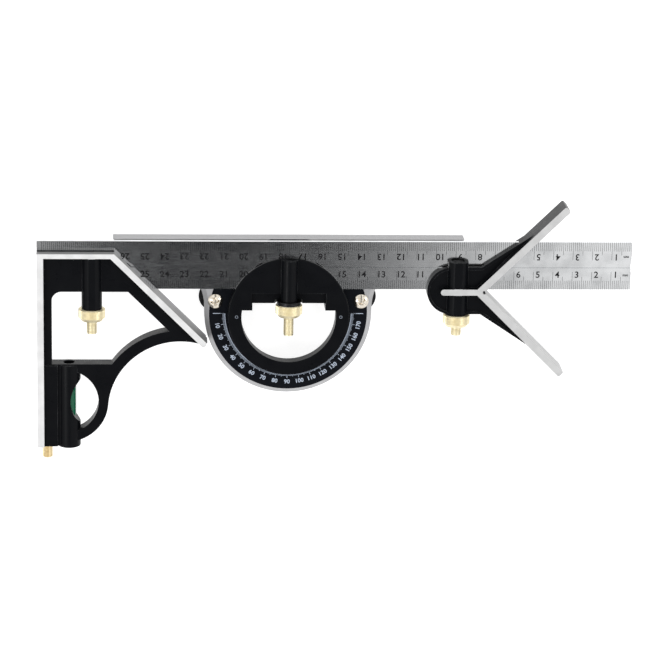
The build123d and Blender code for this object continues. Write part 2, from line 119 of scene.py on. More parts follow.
def feed(tree, socket, value):
    """Links a socket, or writes a plain value into it."""
    if isinstance(value, bpy.types.NodeSocket):
        tree.links.new(value, socket)
    else:
        socket.default_value = value


def arithmetic(tree, operation, first, second=0.0, clamp=False):
    made = add(tree, "ShaderNodeMath", operation=operation, use_clamp=clamp)
    feed(tree, made.inputs[0], first)
    feed(tree, made.inputs[1], second)
    return made.outputs[0]


def spread(tree, value, low, high, to_low=0.0, to_high=1.0):
    """Maps low..high of a value to another range, with soft ends."""
    made = add(tree, "ShaderNodeMapRange", interpolation_type="SMOOTHSTEP")
    for place, number in enumerate((value, low, high, to_low, to_high)):
        feed(tree, made.inputs[place], number)
    return made.outputs[0]


def blend_colours(tree, share, first, second):
    made = add(tree, "ShaderNodeMix", data_type="RGBA")
    feed(tree, made.inputs["Factor"], share)
    for socket, colour in ((made.inputs[6], first), (made.inputs[7], second)):
        feed(tree, socket, colour if isinstance(colour, bpy.types.NodeSocket) else (*colour, 1))
    return made.outputs[2]


def noise(tree, size, detail=3.0, stretch=(1, 1, 1)):
    """Noise whose blobs are about size metres wide, drawn out along an axis by stretch."""
    where = add(tree, "ShaderNodeTexCoord").outputs["Object"]
    scaled = add(tree, "ShaderNodeMapping", Scale=[1 / (size * s) for s in stretch], Vector=where)
    made = add(tree, "ShaderNodeTexNoise", Scale=1.0, Detail=detail, Vector=scaled.outputs[0])
    return made.outputs[0]


def place_along(tree, direction):
    """How far a point lies along a direction, in metres."""
    where = add(tree, "ShaderNodeTexCoord").outputs["Object"]
    made = add(tree, "ShaderNodeVectorMath", operation="DOT_PRODUCT")
    feed(tree, made.inputs[0], where)
    feed(tree, made.inputs[1], direction)
    return made.outputs["Value"]


def material(name, colour, metallic, roughness, **constants):
    """A material whose constants sit on the shader's own sockets."""
    made = bpy.data.materials.new(name)
    made.use_nodes = True
    shader = made.node_tree.nodes["Principled BSDF"]
    constants.update(Base_Color=(*colour, 1), Metallic=metallic, Roughness=roughness)
    for key, value in constants.items():
        shader.inputs[key.replace("_", " ")].default_value = value
    return made, made.node_tree, shader


def rough_surface(tree, shader, height, strength, distance):
    """Bumps the surface by a height."""
    bump = add(tree, "ShaderNodeBump", Strength=strength, Distance=distance, Height=height)
    tree.links.new(bump.outputs[0], shader.inputs["Normal"])


# %% [markdown]
# ## Satin steel for the rule
#
# The rule is hardened steel with a satin chrome face. It could be one plain metal,
# but real rules show fine grinding lines along their length, and handling leaves
# cloudy patches. So one noise is drawn out fifty times along X for the grinding,
# and a second, wide one clouds the colour and the roughness together.


# %% Rule steel
def satin_steel(name, light, dark, roughness, along=(50, 1, 1)):
    made, tree, shader = material(name, light, 1.0, roughness)
    grinding = noise(tree, 0.12 * MM, 2.0, along)
    clouds = noise(tree, 9 * MM, 5.0)
    share = spread(tree, clouds, 0.35, 0.7)
    tree.links.new(blend_colours(tree, share, light, dark), shader.inputs["Base Color"])
    grain = spread(tree, grinding, 0.2, 0.8, roughness - 0.03, roughness + 0.03)
    tree.links.new(arithmetic(tree, "ADD", grain, spread(tree, clouds, 0.3, 0.7, 0, 0.02)),
                   shader.inputs["Roughness"])
    rough_surface(tree, shader, grinding, 0.25, 0.01 * MM)
    return made


rule_steel = satin_steel("rule_steel", (0.80, 0.81, 0.82), (0.68, 0.69, 0.70), 0.10)
print("rule steel has", len(rule_steel.node_tree.nodes), "nodes")

# %% [markdown]
# ## Painted castings with ground faces
#
# The heads are cast, painted black and then ground bright on the faces that
# measure and on the flat rims beside them. Two objects or two materials could show
# that, but the grinding wheel itself gives the simplest rule: paint is gone
# wherever the surface touches one of the wheel's planes. So each casting has one
# material, with a mask that asks which points lie on its ground planes. The paint
# has the fine orange peel of enamel, and is worn thin in places along its edges.
# That lighter colour at the edges is also a painted highlight.


# %% Ground and painted
def on_plane(tree, direction, offset, slack=0.02 * MM):
    """1 where a point lies on or past a plane."""
    return arithmetic(tree, "GREATER_THAN", place_along(tree, direction), offset - slack)


def either(tree, masks):
    total = masks[0]
    for mask in masks[1:]:
        total = arithmetic(tree, "MAXIMUM", total, mask)
    return total


PAINT_SHEEN = 0.16
# the paler colour at the edges: worn paint, and also a painted highlight
WORN_PAINT_AND_HIGHLIGHT = (0.09, 0.092, 0.098)
EDGE_WIDTH = 0.35 * MM        # radius of the bevel that softens the edges, and finds the edges where paint is worn and a painted highlight is laid
GROUND_METALLIC = 0.55        # below 1, so that a ground face scatters light too
CLOUDED = 0.88                # share of the steel's colour in its cloudy patches


def casting(name, ground_mask, enamel=(0.003, 0.0034, 0.0045), steel=(0.86, 0.86, 0.86), side_painted_shade=0.34):
    """Black enamel, with steel where ground_mask(tree) is 1. On the sides the steel carries a painted shade:
    it is side_painted_shade as bright.
    """
    made, tree, shader = material(name, enamel, 0.0, 0.30, IOR=1.33, Specular_IOR_Level=PAINT_SHEEN)
    ground = ground_mask(tree)
    peel = noise(tree, 0.5 * MM, 2.0)
    patches = noise(tree, 7 * MM, 4.0)
    grinding = noise(tree, 0.15 * MM, 2.0, (1, 1, 30))
    bevel = add(tree, "ShaderNodeBevel", samples=6, Radius=EDGE_WIDTH)
    flat = add(tree, "ShaderNodeNewGeometry")
    turned = add(tree, "ShaderNodeVectorMath", operation="DOT_PRODUCT")
    tree.links.new(bevel.outputs[0], turned.inputs[0])
    tree.links.new(flat.outputs["Normal"], turned.inputs[1])
    # Edges found by the bevel lighten towards the paler colour: worn paint, and also a painted highlight
    # along the edges.
    edge_wear_and_highlight = arithmetic(tree, "MULTIPLY", spread(tree, turned.outputs["Value"], 0.80, 0.99, 1, 0),
                      spread(tree, patches, 0.45, 0.65, 0.15, 1))
    paint = blend_colours(tree, edge_wear_and_highlight, enamel, WORN_PAINT_AND_HIGHLIGHT)
    bright = blend_colours(tree, spread(tree, patches, 0.3, 0.7), steel, [c * CLOUDED for c in steel])
    # A painted shade: faces that turn away from the front get steel darkened to side_painted_shade of its
    # brightness.
    facing = add(tree, "ShaderNodeSeparateXYZ", Vector=flat.outputs["Normal"])
    upright = spread(tree, arithmetic(tree, "ABSOLUTE", facing.outputs["Z"]), 0.3, 0.8)
    shaded_side_steel = [c * side_painted_shade for c in steel]
    bright = blend_colours(tree, arithmetic(tree, "SUBTRACT", 1.0, upright), bright, shaded_side_steel)
    tree.links.new(blend_colours(tree, ground, paint, bright), shader.inputs["Base Color"])
    tree.links.new(arithmetic(tree, "MULTIPLY", ground, GROUND_METALLIC), shader.inputs["Metallic"])
    paint_gloss = spread(tree, patches, 0.3, 0.7, 0.26, 0.36)
    ground_gloss = spread(tree, grinding, 0.2, 0.8, 0.34, 0.50)
    gloss = add(tree, "ShaderNodeMix", data_type="FLOAT", Factor=ground, A=paint_gloss, B=ground_gloss)
    tree.links.new(gloss.outputs[0], shader.inputs["Roughness"])
    relief = add(tree, "ShaderNodeMix", data_type="FLOAT", Factor=ground, A=peel, B=grinding)
    bump = add(tree, "ShaderNodeBump", Strength=0.35, Distance=0.02 * MM, Height=relief.outputs[0])
    tree.links.new(bevel.outputs[0], bump.inputs["Normal"])
    tree.links.new(bump.outputs[0], shader.inputs["Normal"])
    return made


front = square_high.z
MITRE_CORNER = 39.0 * MM      # where the top face turns into the 45 degree face
BOSS_FLAT = 2.2 * MM          # the clamp boss stays painted this far from its axis
FLANGE = 2.6 * MM             # height of the bright band under the top face
SLOT_SHADOW = 1.6 * MM        # the top face is bright only above this height; below it the black paint is kept as a painted shadow along the rule's slot
mitre_sum = MITRE_CORNER + square_high.y
square_boss_x = middle("square_clamp_nut").x


def square_ground(tree):
    """The rim of the square head: front, back, 90 degree face, top face and 45 degree face."""
    beside_boss = arithmetic(tree, "SUBTRACT", place_along(tree, (1, 0, 0)), square_boss_x)
    beside_boss = arithmetic(tree, "GREATER_THAN", arithmetic(tree, "ABSOLUTE", beside_boss), BOSS_FLAT)
    above = on_plane(tree, (0, 1, 0), square_high.y - FLANGE)
    clear_of_boss = arithmetic(tree, "MAXIMUM", beside_boss, above)
    faces = either(tree, [on_plane(tree, (0, 0, 1), front), on_plane(tree, (0, 0, -1), -square_low.z)])
    # Below SLOT_SHADOW the top face stays black, a painted shadow beside the rule.
    top_face = arithmetic(tree, "MULTIPLY", on_plane(tree, (0, 1, 0), square_high.y),
                          on_plane(tree, (0, 0, 1), SLOT_SHADOW))
    sides = [on_plane(tree, (-1, 0, 0), -square_low.x), top_face, on_plane(tree, (1, 1, 0), mitre_sum)]
    return either(tree, [arithmetic(tree, "MULTIPLY", faces, clear_of_boss)] + sides)


square_finish = casting("square_head_finish", square_ground)
print("square head finish has", len(square_finish.node_tree.nodes), "nodes")

# %% [markdown]
# ## The other two castings
#
# The centre head is bright on the front, the back and the measuring faces of its
# two arms, and on the stem along the vee's middle line. So its bands are the points
# on the front or back plane that are also within an arm or the stem. The protractor
# plate is bright on its straight edge and on everything outside its scale: the
# rim's bevel, the ears and the bar. The turret is painted all over.

# %% Masks of the other heads
centre_front = centre_high.z
ARM_THICKNESS = 3.7 * MM
STEM_HALF = 1.7 * MM
VEE_SLACK = 0.03 * MM
RIM_INNER = 40.45 * MM         # where the protractor's bright bevel begins
arm_step = ARM_THICKNESS / math.sqrt(2)
vee_x = centre_high.x - (centre_high.y - centre_low.y) / 2 + arm_step


def centre_ground(tree):
    """Front and back of the arms and stem, and the arms' measuring faces."""
    across = arithmetic(tree, "ABSOLUTE", place_along(tree, (0, 1, 0)))
    past_vee = arithmetic(tree, "SUBTRACT", place_along(tree, (1, 0, 0)), across)
    measuring = arithmetic(tree, "GREATER_THAN", past_vee, vee_x - VEE_SLACK)
    arms = arithmetic(tree, "GREATER_THAN", past_vee, vee_x - 2 * arm_step - VEE_SLACK)
    stem = arithmetic(tree, "LESS_THAN", across, STEM_HALF)
    faces = either(tree, [on_plane(tree, (0, 0, 1), centre_front), on_plane(tree, (0, 0, -1), -centre_low.z)])
    bands = arithmetic(tree, "MULTIPLY", faces, either(tree, [arms, stem]))
    return either(tree, [bands, measuring])


def plate_ground(tree):
    """The straight edge, and all that lies outside the scale: rim, ears and bar."""
    offset = add(tree, "ShaderNodeVectorMath", operation="SUBTRACT")
    tree.links.new(add(tree, "ShaderNodeTexCoord").outputs["Object"], offset.inputs[0])
    offset.inputs[1].default_value = (turret_x, turret_y, 0)
    flat = add(tree, "ShaderNodeVectorMath", operation="MULTIPLY")
    tree.links.new(offset.outputs[0], flat.inputs[0])
    flat.inputs[1].default_value = (1, 1, 0)
    radius = add(tree, "ShaderNodeVectorMath", operation="LENGTH")
    tree.links.new(flat.outputs[0], radius.inputs[0])
    rim = arithmetic(tree, "GREATER_THAN", radius.outputs["Value"], RIM_INNER)
    return either(tree, [rim, on_plane(tree, (0, 1, 0), plate_high.y)])


def nothing_ground(tree):
    return on_plane(tree, (0, 0, 1), 1.0)


centre_finish = casting("centre_head_finish", centre_ground, steel=(0.66, 0.66, 0.66), side_painted_shade=0.6)
plate_finish = casting("protractor_finish", plate_ground, enamel=(0.004, 0.005, 0.0075),
                       steel=(0.48, 0.48, 0.49), side_painted_shade=0.7)
turret_finish = casting("turret_finish", nothing_ground)
print("vee at x =", round(vee_x / MM, 2), "mm")

# %% [markdown]
# ## Brass, nickel, black steel and the level
#
# Small turned parts need less. Brass is a warm metal that tarnishes in patches, so
# one noise darkens its colour and roughens it together. The level's vial is
# green-tinted and partly clear, round a green liquid.


# %% Small-part finishes
def turned_metal(name, colour, shadow, roughness):
    made, tree, shader = material(name, colour, 1.0, roughness)
    tarnish = noise(tree, 1.2 * MM, 4.0)
    lathe = noise(tree, 0.1 * MM, 2.0, (20, 1, 20))
    share = spread(tree, tarnish, 0.4, 0.75)
    tree.links.new(blend_colours(tree, share, colour, shadow), shader.inputs["Base Color"])
    gloss = spread(tree, tarnish, 0.3, 0.8, roughness - 0.05, roughness + 0.1)
    tree.links.new(gloss, shader.inputs["Roughness"])
    rough_surface(tree, shader, lathe, 0.2, 0.01 * MM)
    return made


brass = turned_metal("brass", (0.86, 0.78, 0.55), (0.78, 0.69, 0.45), 0.48)
warm_brass = turned_metal("warm_brass", (0.80, 0.66, 0.40), (0.66, 0.52, 0.28), 0.42)
nickel = turned_metal("nickel", (0.86, 0.80, 0.70), (0.55, 0.48, 0.38), 0.13)
black_steel = turned_metal("black_steel", (0.030, 0.030, 0.032), (0.012, 0.012, 0.013), 0.40)
spring_steel = turned_metal("spring_steel", (0.55, 0.55, 0.54), (0.35, 0.34, 0.33), 0.30)
hard_steel = turned_metal("hardened_steel", (0.62, 0.61, 0.60), (0.42, 0.40, 0.38), 0.25)

glass, glass_tree, glass_shader = material("vial_glass", (0.012, 0.17, 0.085), 0.0, 0.08,
                                           Transmission_Weight=0.35, IOR=1.40)
rough_surface(glass_tree, glass_shader, noise(glass_tree, 4 * MM, 1.0), 0.05, 0.02 * MM)
liquid, liquid_tree, liquid_shader = material("vial_liquid", (0.01, 0.20, 0.10), 0.0, 0.12, IOR=1.36)
depth = spread(liquid_tree, noise(liquid_tree, 6 * MM, 2.0), 0.3, 0.7)
liquid_tree.links.new(blend_colours(liquid_tree, depth, (0.010, 0.20, 0.10), (0.006, 0.13, 0.065)),
                      liquid_shader.inputs["Base Color"])
plug, plug_tree, plug_shader = material("vial_plug", (0.03, 0.03, 0.03), 0.0, 0.5)
rough_surface(plug_tree, plug_shader, noise(plug_tree, 0.3 * MM, 3.0), 0.3, 0.02 * MM)
print("small-part finishes:", [m.name for m in bpy.data.materials])

# %% [markdown]
# ## Ink in the marks
#
# The rule's marks are etched and filled black; the protractor's are printed in a
# pale blue-grey. Ink is never quite even, so a fine noise thins it here and there.


# %% Inks
def ink(name, colour, thin, roughness, sheen=0.5):
    made, tree, shader = material(name, colour, 0.0, roughness, Specular_IOR_Level=sheen)
    share = spread(tree, noise(tree, 0.25 * MM, 3.0), 0.45, 0.8)
    tree.links.new(blend_colours(tree, share, colour, thin), shader.inputs["Base Color"])
    rough_surface(tree, shader, noise(tree, 0.08 * MM, 2.0), 0.2, 0.01 * MM)
    return made


black_ink = ink("black_ink", (0.008, 0.008, 0.009), (0.03, 0.03, 0.031), 0.45, 0.1)
pale_ink = ink("pale_ink", (0.50, 0.57, 0.68), (0.26, 0.31, 0.40), 0.5)
print("inks:", black_ink.name, pale_ink.name)

# %% [markdown]
# ## Who wears what
#
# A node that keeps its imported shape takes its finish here. The knurled nuts, the
# scriber's head and the domed screws are new pieces, and bring their own.

# %% Dress the CAD nodes
finishes = {
    "rule": rule_steel, "square_head_casting": square_finish, "centre_head_casting": centre_finish,
    "protractor_body": plate_finish, "protractor_turret": turret_finish,
    "level_vial_glass": glass, "level_vial_liquid": liquid, "level_vial_plug": plug,
    "scriber_bush": brass, "scriber_needle": hard_steel, "turret_clamp_washer": black_steel,
    "left_lock_washer": black_steel, "right_lock_washer": black_steel,
}
for clamp in ("square", "turret", "centre"):
    finishes[clamp + "_clamp_bolt"] = black_steel
    finishes[clamp + "_clamp_spring"] = spring_steel
for node, finish in finishes.items():
    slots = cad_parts[node].data.materials
    slots.clear()
    slots.append(finish)
print("dressed", len(finishes), "nodes")

# %% [markdown]
# ## Geometry Nodes for what repeats
#
# Marks, ridges and threads repeat, so each is one small tree with named inputs.
# The helper below runs a tree on a piece and turns its result into a plain mesh,
# because a finished piece must carry no live modifier and no instances.


# %% Trees and how they are run
def new_tree(name, inputs):
    """A geometry tree with a Geometry input and output, and these named inputs."""
    tree = bpy.data.node_groups.new(name, "GeometryNodeTree")
    tree.interface.new_socket("Geometry", in_out="INPUT", socket_type="NodeSocketGeometry")
    for label, kind in inputs.items():
        tree.interface.new_socket(label, in_out="INPUT", socket_type="NodeSocket" + kind)
    tree.interface.new_socket("Geometry", in_out="OUTPUT", socket_type="NodeSocketGeometry")
    return tree, tree.nodes.new("NodeGroupInput").outputs, tree.nodes.new("NodeGroupOutput").inputs


def finish_tree(tree, geometry, given, result):
    """Ends a tree in Realize Instances and Set Material."""
    real = add(tree, "GeometryNodeRealizeInstances", Geometry=geometry)
    dressed = add(tree, "GeometryNodeSetMaterial", Geometry=real.outputs[0], Material=given["Material"])
    tree.links.new(dressed.outputs[0], result["Geometry"])
    return tree


def run_tree(name, tree, values, base=None):
    """A new object whose mesh is what the tree makes from the base mesh."""
    source = bpy.data.objects.new(name + ".source", base or bpy.data.meshes.new(name + ".base"))
    bpy.context.collection.objects.link(source)
    modifier = source.modifiers.new("nodes", "NODES")
    modifier.node_group = tree
    labels = {item.name: item.identifier for item in tree.interface.items_tree if item.in_out == "INPUT"}
    for label, value in values.items():
        modifier[labels[label]] = value
    ready = source.evaluated_get(bpy.context.evaluated_depsgraph_get())
    mesh = bpy.data.meshes.new_from_object(ready)
    mesh.name = name
    bpy.data.objects.remove(source)
    made = bpy.data.objects.new(name, mesh)
    bpy.context.collection.objects.link(made)
    return made


# %% [markdown]
# ### A row of rule marks
#
# A ruled scale is a line of points a millimetre apart, with a thin bar on each.
# The bar's length follows the point's index: every tenth is long, every fifth
# middling. Drawing 301 bars by hand, or an image, would say the same less clearly.


# %% The straight scale
def pick(tree, test, when_false, when_true):
    made = add(tree, "GeometryNodeSwitch", input_type="FLOAT")
    feed(tree, made.inputs["Switch"], test)
    feed(tree, made.inputs["False"], when_false)
    feed(tree, made.inputs["True"], when_true)
    return made.outputs[0]


def every(tree, index, count):
    """True at each index that count divides."""
    made = add(tree, "FunctionNodeCompare", data_type="FLOAT", operation="LESS_THAN")
    feed(tree, made.inputs[0], arithmetic(tree, "MODULO", index, float(count)))
    made.inputs[1].default_value = 0.5
    return made.outputs[0]


def mark_length(tree, given):
    index = add(tree, "GeometryNodeInputIndex").outputs[0]
    shorter = pick(tree, every(tree, index, 5), given["Short"], given["Middle"])
    return pick(tree, every(tree, index, 10), shorter, given["Long"])


def bar(tree, given):
    """A thin bar one metre long, from the origin along +Y, for an instance to scale."""
    size = add(tree, "ShaderNodeCombineXYZ", X=given["Width"], Y=1.0, Z=given["Thickness"])
    cube = add(tree, "GeometryNodeMeshCube", Size=size.outputs[0])
    return add(tree, "GeometryNodeTransform", Geometry=cube.outputs[0], Translation=(0, 0.5, 0)).outputs[0]


mark_inputs = {"Count": "Int", "Pitch": "Float", "Short": "Float", "Middle": "Float", "Long": "Float",
               "Width": "Float", "Thickness": "Float", "Start": "Vector", "Turn": "Vector",
               "Material": "Material"}
row_tree, given, result = new_tree("row_of_marks", mark_inputs)
backwards = arithmetic(row_tree, "MULTIPLY", given["Pitch"], -1.0)
pitch = add(row_tree, "ShaderNodeCombineXYZ", X=backwards)
line = add(row_tree, "GeometryNodeMeshLine", Count=given["Count"], Offset=pitch.outputs[0])
length = add(row_tree, "ShaderNodeCombineXYZ", X=1.0, Y=mark_length(row_tree, given), Z=1.0)
marks = add(row_tree, "GeometryNodeInstanceOnPoints", Points=line.outputs[0],
            Instance=bar(row_tree, given), Scale=length.outputs[0])
placed = add(row_tree, "GeometryNodeTransform", Geometry=marks.outputs[0], Translation=given["Start"],
             Rotation=given["Turn"])
finish_tree(row_tree, placed.outputs[0], given, result)

graduations = 300
MARK_PROUD = 0.02 * MM
MARK_WIDTH = 0.16 * MM
SHORT_MARK = 4.7 * MM
MIDDLE_MARK = 6.8 * MM
LONG_MARK = 9.4 * MM
rows = {
    "front_lower": (Vector((rule_end, rule_low.y, rule_high.z)), 0.0),
    "front_upper": (Vector((rule_end, rule_high.y, rule_high.z)), math.pi),
    "back_lower": (Vector((rule_end, rule_low.y, rule_low.z)), 0.0),
    "back_upper": (Vector((rule_end, rule_high.y, rule_low.z)), math.pi),
}
for name, (start, turn) in rows.items():
    row = run_tree("rule_marks_" + name, row_tree, {
        "Count": graduations + 1, "Pitch": 1 * MM, "Short": SHORT_MARK, "Middle": MIDDLE_MARK,
        "Long": LONG_MARK, "Width": MARK_WIDTH, "Thickness": MARK_PROUD, "Start": start,
        "Turn": (turn, 0, 0), "Material": black_ink})
    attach(row, "rule_body")
print("marks in a row:", graduations + 1, "faces:", len(row.data.polygons))

# %% [markdown]
# ### Numerals
#
# Numbers come from Blender's own text. Each one becomes a mesh first and is then
# laid in place, so that its object can stay at the origin. The lower row reads
# upright and the upper row upside down, as on a rule that is used from both edges.
# A small unit mark stands at the end where the numbers start.


# %% Lettering
BOLD = 0.07 * MM
NUMERAL_RISE = 7.7 * MM
NUMERAL_HEIGHT = 3.3 * MM
UNIT_HEIGHT = 1.3 * MM
UNIT_INSET = 2.6 * MM         # the unit mark's distance from the rule's end
ONE_DIGIT_GAP = 2.3 * MM      # from a mark to the middle of its number
TWO_DIGIT_GAP = 2.0 * MM
DIGIT_SHARE = 0.70            # a digit's height as a share of the text's size
MERGE_DISTANCE = 1e-7


def lettering(name, entries, height, finish, body):
    """Lettering as one thin mesh, with strokes thickened by BOLD. An entry is the text and its place."""
    together = bmesh.new()
    for text, place in entries:
        curve = bpy.data.curves.new(name, "FONT")
        curve.body = text
        curve.size = height / DIGIT_SHARE
        curve.align_x, curve.align_y = "CENTER", "CENTER"
        curve.extrude = MARK_PROUD / 2
        curve.offset = BOLD
        curve.resolution_u = 3
        source = bpy.data.objects.new(name, curve)
        mesh = bpy.data.meshes.new_from_object(source)
        mesh.transform(place)
        together.from_mesh(mesh)
        bpy.data.objects.remove(source)
        bpy.data.meshes.remove(mesh)
        bpy.data.curves.remove(curve)
    bmesh.ops.remove_doubles(together, verts=together.verts, dist=MERGE_DISTANCE)
    mesh = bpy.data.meshes.new(name)
    together.to_mesh(mesh)
    together.free()
    mesh.materials.append(finish)
    made = bpy.data.objects.new(name, mesh)
    bpy.context.collection.objects.link(made)
    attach(made, body)
    return made


def both_rows(text, x, rise, face_z, over):
    """The same text beside both edges of the rule; over turns it over for the rule's back."""
    entries = []
    for y, turn in ((rule_low.y + rise, 0.0), (rule_high.y - rise, math.pi)):
        place = Matrix.Translation((x, y, face_z)) @ Matrix.Rotation(turn + over, 4, "Z")
        if over:
            place = place @ Matrix.Rotation(math.pi, 4, "X")
        entries.append((text, place))
    return entries


def numeral_entries(face_z, over):
    """Centimetre numbers on one face, each a little nearer the rule's end than its mark."""
    entries = []
    for number in range(1, graduations // 10):
        beside_mark = ONE_DIGIT_GAP if number < 10 else TWO_DIGIT_GAP
        x = rule_end - number * 10 * MM + beside_mark
        entries += both_rows(str(number), x, NUMERAL_RISE, face_z, over)
    return entries


for side, face_z, over in (("front", rule_high.z, 0.0), ("back", rule_low.z, math.pi)):
    numerals = lettering(f"rule_numerals_{side}", numeral_entries(face_z, over), NUMERAL_HEIGHT, black_ink,
                         "rule_body")
    lettering(f"rule_unit_{side}", both_rows("mm", rule_end - UNIT_INSET, NUMERAL_RISE, face_z, over),
              UNIT_HEIGHT, black_ink, "rule_body")
print("numeral faces:", len(numerals.data.polygons))

# %% [markdown]
# ### The protractor's scale
#
# Round the turret runs a half circle of degree marks, closed by a line on its
# inner side, with a number at every tenth degree but the ends, which have a long
# mark instead. The tree is the rule's, bent: the points go round an arc, and each
# bar turns to face outwards.

# %% The round scale
arc_tree, given, result = new_tree("arc_of_marks", {**mark_inputs, "Radius": "Float", "First": "Float"})
points = add(arc_tree, "GeometryNodeMeshLine", Count=given["Count"], Offset=(0, 0, 0))
index = add(arc_tree, "GeometryNodeInputIndex").outputs[0]
angle = arithmetic(arc_tree, "ADD", given["First"], arithmetic(arc_tree, "MULTIPLY", index, given["Pitch"]))
out_x = arithmetic(arc_tree, "MULTIPLY", arithmetic(arc_tree, "COSINE", angle), given["Radius"])
out_y = arithmetic(arc_tree, "MULTIPLY", arithmetic(arc_tree, "SINE", angle), given["Radius"])
round_place = add(arc_tree, "ShaderNodeCombineXYZ", X=out_x, Y=out_y)
bent = add(arc_tree, "GeometryNodeSetPosition", Geometry=points.outputs[0], Position=round_place.outputs[0])
facing = add(arc_tree, "ShaderNodeCombineXYZ", Z=arithmetic(arc_tree, "SUBTRACT", angle, math.pi / 2))
length = add(arc_tree, "ShaderNodeCombineXYZ", X=1.0, Y=mark_length(arc_tree, given), Z=1.0)
marks = add(arc_tree, "GeometryNodeInstanceOnPoints", Points=bent.outputs[0], Instance=bar(arc_tree, given),
            Rotation=facing.outputs[0], Scale=length.outputs[0])
placed = add(arc_tree, "GeometryNodeTransform", Geometry=marks.outputs[0], Translation=given["Start"],
             Rotation=given["Turn"])
finish_tree(arc_tree, placed.outputs[0], given, result)

DEGREE_MARKS = 181
DEGREE_SHORT = 1.1 * MM
DEGREE_MIDDLE = 1.5 * MM
DEGREE_LONG = 2.3 * MM
DEGREE_WIDTH = 0.22 * MM
SCALE_GAP = 1.5 * MM          # the scale stands clear of the turret, which hides what is nearer
scale_centre = Vector((turret_x, turret_y, plate_high.z))
scale_radius = turret_radius + SCALE_GAP
degree = math.radians(1)
degrees = run_tree("degree_marks", arc_tree, {
    "Count": DEGREE_MARKS, "Pitch": degree, "First": math.pi, "Radius": scale_radius, "Short": DEGREE_SHORT,
    "Middle": DEGREE_MIDDLE, "Long": DEGREE_LONG, "Width": DEGREE_WIDTH, "Thickness": MARK_PROUD,
    "Start": scale_centre, "Turn": (0, 0, 0), "Material": pale_ink})
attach(degrees, "protractor")
print("degree marks:", DEGREE_MARKS)

# %% [markdown]
# ### The line and the numbers
#
# The line and the turret's witness rings are the same thing, a thin flat arc, so
# one helper makes both. The numbers stand outside the marks, with their tops
# towards the turret.


# %% Inner line and numbers of the round scale
def ring(name, centre, inner, outer, start, end, finish, body, steps=96):
    """A thin flat arc between two radii."""
    mesh = bmesh.new()
    half = MARK_PROUD / 2
    sections = []
    for step in range(steps + 1):
        turn = start + (end - start) * step / steps
        out = Vector((math.cos(turn), math.sin(turn), 0))
        corners = [(inner, -half), (outer, -half), (outer, half), (inner, half)]
        sections.append([mesh.verts.new(centre + out * r + Vector((0, 0, z))) for r, z in corners])
    for here, there in zip(sections, sections[1:]):
        for a in range(4):
            b = (a + 1) % 4
            mesh.faces.new((here[a], there[a], there[b], here[b]))
    mesh.faces.new(sections[0])
    mesh.faces.new(sections[-1][::-1])
    bmesh.ops.recalc_face_normals(mesh, faces=mesh.faces)
    data = bpy.data.meshes.new(name)
    mesh.to_mesh(data)
    mesh.free()
    data.materials.append(finish)
    made = bpy.data.objects.new(name, data)
    bpy.context.collection.objects.link(made)
    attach(made, body)
    return made


LINE_WIDTH = 0.35 * MM
END_MARK = 6 * MM
NUMBER_GAP = 4.2 * MM         # from the line to the middle of the numbers
DIGIT_HEIGHT = 2.1 * MM
ring("scale_line", scale_centre, scale_radius - LINE_WIDTH, scale_radius, math.pi, 2 * math.pi, pale_ink,
     "protractor")
ends = run_tree("scale_end_marks", arc_tree, {
    "Count": 2, "Pitch": math.pi, "First": math.pi, "Radius": scale_radius, "Short": END_MARK,
    "Middle": END_MARK, "Long": END_MARK, "Width": LINE_WIDTH, "Thickness": MARK_PROUD,
    "Start": scale_centre, "Turn": (0, 0, 0), "Material": pale_ink})
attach(ends, "protractor")
number_radius = scale_radius + NUMBER_GAP
entries = []
for tens in range(1, 18):
    turn = math.pi + tens * 10 * degree
    where = scale_centre + number_radius * Vector((math.cos(turn), math.sin(turn), 0))
    entries.append((str(tens * 10), Matrix.Translation(where) @ Matrix.Rotation(turn + math.pi / 2, 4, "Z")))
lettering("scale_numbers", entries, DIGIT_HEIGHT, pale_ink, "protractor")
print("scale numbers:", len(entries))

# %% [markdown]
# ### Witness marks
#
# The turret carries a small ring at each side, in line with the ends of the scale.

# %% Witness marks on the turret
TURRET_FACE = 1.8 * MM         # height of the turret's flat front
witness_ink = ink("witness_ink", (0.22, 0.25, 0.30), (0.12, 0.14, 0.17), 0.5)
WITNESS_INSET = 4.4 * MM
WITNESS_INNER = 0.55 * MM
WITNESS_OUTER = 0.8 * MM
witness_radius = turret_radius - WITNESS_INSET
for name, turn in (("left", math.pi), ("right", 0.0)):
    out = Vector((math.cos(turn), math.sin(turn), 0))
    spot = Vector((turret_x, turret_y, TURRET_FACE)) + out * witness_radius
    ring(f"witness_ring_{name}", spot, WITNESS_INNER, WITNESS_OUTER, 0, 2 * math.pi, witness_ink,
         "turret", 24)
print("witness rings at", round(witness_radius / MM, 2), "mm from the turret's centre")

# %% [markdown]
# ## Turned parts
#
# A nut, a stud or the scriber's head begins on the lathe, so each is a short outline
# spun round its axis. The outline is a list of steps, each a radius and a distance
# along the axis, and the helper closes it into a ring, or at the axis where a
# radius is 0.


